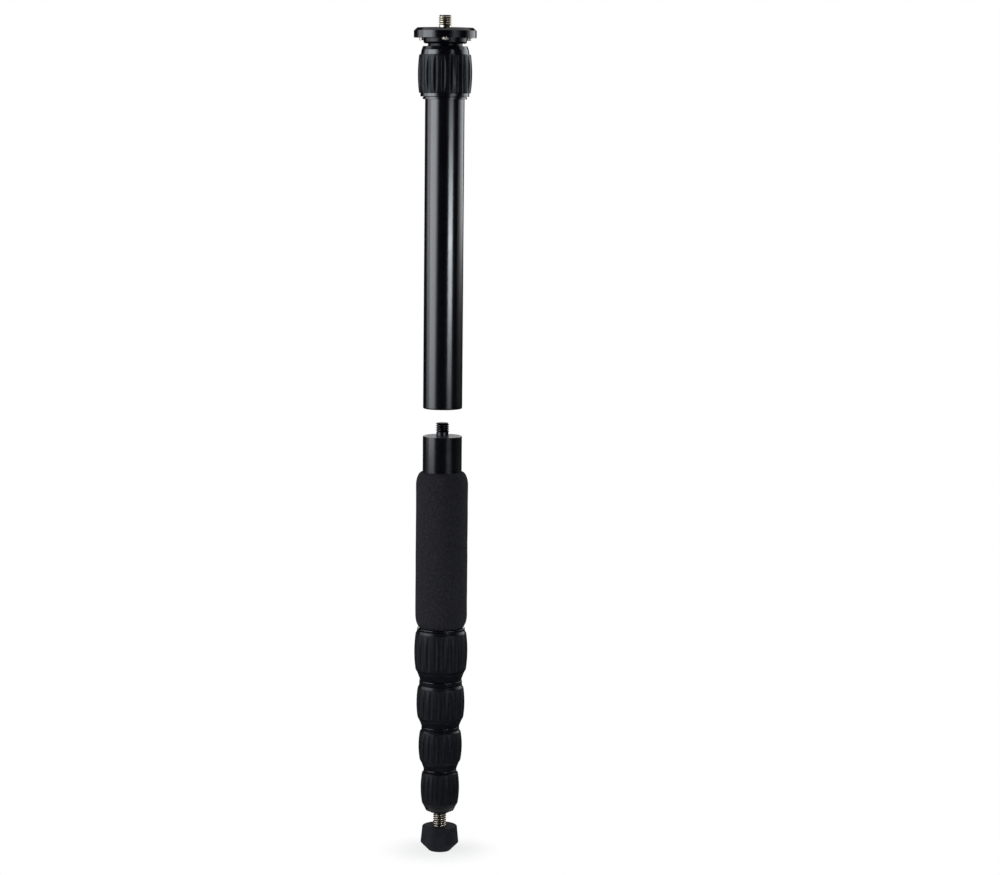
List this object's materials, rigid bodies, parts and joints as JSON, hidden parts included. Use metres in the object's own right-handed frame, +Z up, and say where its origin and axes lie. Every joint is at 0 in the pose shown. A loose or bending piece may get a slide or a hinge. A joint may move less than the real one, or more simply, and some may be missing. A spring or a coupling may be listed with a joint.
{
  "type": "travel tripod leg and centre column",
  "caption": "One-legged camera support from a travel tripod: telescoping twist-lock leg with foam grip and screw-up foot, and a screw-in centre column with a head platform.",
  "frame": {"origin": "under the middle of the rubber foot, on the ground", "axes": "+Z up the common axis of the leg and the column, towards the head screw; -Y faces the camera"},
  "size_m": [0.0444, 0.0444, 0.6011],
  "materials": {
    "anodised": "satin",
    "satin_platform": "satin",
    "collar_plastic": "matte",
    "turned_plug": "satin",
    "grip_rubber": "matte",
    "foam": "matte",
    "foot_rubber": "matte",
    "black_steel": "satin",
    "browned_steel": "satin",
    "stainless": "polished",
    "brass": "satin",
    "nylon": "matte"
  },
  "bodies": {
    "leg_top": {"joining_stud": "black_steel", "top_plug": "turned_plug", "section_1_tube": "anodised", "foam_grip": "foam", "thread_ring_1": "anodised", "collet_1": "nylon"},
    "lock_1": {"lock_collar_1": "collar_plastic", "lock_grip_1": "grip_rubber", "wiper_1": "grip_rubber"},
    "section_2": {"section_2_tube": "anodised", "guide_shims_2": "nylon", "thread_ring_2": "anodised", "collet_2": "nylon"},
    "lock_2": {"lock_collar_2": "collar_plastic", "lock_grip_2": "grip_rubber", "wiper_2": "grip_rubber"},
    "section_3": {"section_3_tube": "anodised", "guide_shims_3": "nylon", "thread_ring_3": "anodised", "collet_3": "nylon"},
    "lock_3": {"lock_collar_3": "collar_plastic", "lock_grip_3": "grip_rubber", "wiper_3": "grip_rubber"},
    "section_4": {"section_4_tube": "anodised", "guide_shims_4": "nylon", "thread_ring_4": "anodised", "collet_4": "nylon"},
    "lock_4": {"lock_collar_4": "collar_plastic", "lock_grip_4": "grip_rubber", "wiper_4": "grip_rubber"},
    "section_5": {"section_5_tube": "anodised", "guide_shims_5": "nylon", "foot_plug": "anodised", "foot_spike": "stainless"},
    "foot_carrier": {"foot_insert": "brass"},
    "foot": {"rubber_foot": "foot_rubber"},
    "column_base": {"column_end_plug": "anodised"},
    "column": {"column_tube": "anodised", "column_thread_ring": "anodised", "column_collet": "nylon"},
    "column_lock": {"column_lock_collar": "anodised", "column_lock_grip": "grip_rubber", "column_wiper": "grip_rubber"},
    "column_inner": {"inner_column_tube": "anodised", "column_guide_shims": "nylon", "head_plug": "anodised", "head_platform": "satin_platform", "head_screw": "browned_steel", "platform_grub_screws": "stainless"}
  },
  "joints": [
    {"name": "lock_1_turn", "type": "hinge", "parent": "leg_top", "child": "lock_1", "pos_m": [0, 0, 0], "axis": [0, 0, -1], "range_deg": [0, 120]},
    {"name": "section_2_slide", "type": "slide", "parent": "leg_top", "child": "section_2", "axis": [0, 0, -1], "range_m": [0, 0.1197]},
    {"name": "lock_2_turn", "type": "hinge", "parent": "section_2", "child": "lock_2", "pos_m": [0, 0, 0], "axis": [0, 0, -1], "range_deg": [0, 120]},
    {"name": "section_3_slide", "type": "slide", "parent": "section_2", "child": "section_3", "axis": [0, 0, -1], "range_m": [0, 0.1538]},
    {"name": "lock_3_turn", "type": "hinge", "parent": "section_3", "child": "lock_3", "pos_m": [0, 0, 0], "axis": [0, 0, -1], "range_deg": [0, 120]},
    {"name": "section_4_slide", "type": "slide", "parent": "section_3", "child": "section_4", "axis": [0, 0, -1], "range_m": [0, 0.1854]},
    {"name": "lock_4_turn", "type": "hinge", "parent": "section_4", "child": "lock_4", "pos_m": [0, 0, 0], "axis": [0, 0, -1], "range_deg": [0, 120]},
    {"name": "section_5_slide", "type": "slide", "parent": "section_4", "child": "section_5", "axis": [0, 0, -1], "range_m": [0, 0.2158]},
    {"name": "foot_raise", "type": "slide", "parent": "section_5", "child": "foot_carrier", "axis": [0, 0, 1], "range_m": [0, 0.009]},
    {"name": "foot_turn", "type": "hinge", "parent": "foot_carrier", "child": "foot", "pos_m": [0, 0, 0], "axis": [0, 0, 1], "range_deg": [0, 2040]},
    {"name": "column_lift", "type": "slide", "parent": "leg_top", "child": "column_base", "axis": [0, 0, 1], "range_m": [-0.0196, 0.06]},
    {"name": "column_turn", "type": "hinge", "parent": "column_base", "child": "column", "pos_m": [0, 0, 0.33], "axis": [0, 0, 1], "continuous": true},
    {"name": "column_lock_turn", "type": "hinge", "parent": "column", "child": "column_lock", "pos_m": [0, 0, 0.56], "axis": [0, 0, 1], "range_deg": [0, 120]},
    {"name": "column_extend", "type": "slide", "parent": "column", "child": "column_inner", "axis": [0, 0, 1], "range_m": [-0.0015, 0.1961]}
  ],
  "couplings": [
    {"joint": "foot_raise", "follows": "foot_turn", "m_per_rad": 0.00025266}
  ]
}
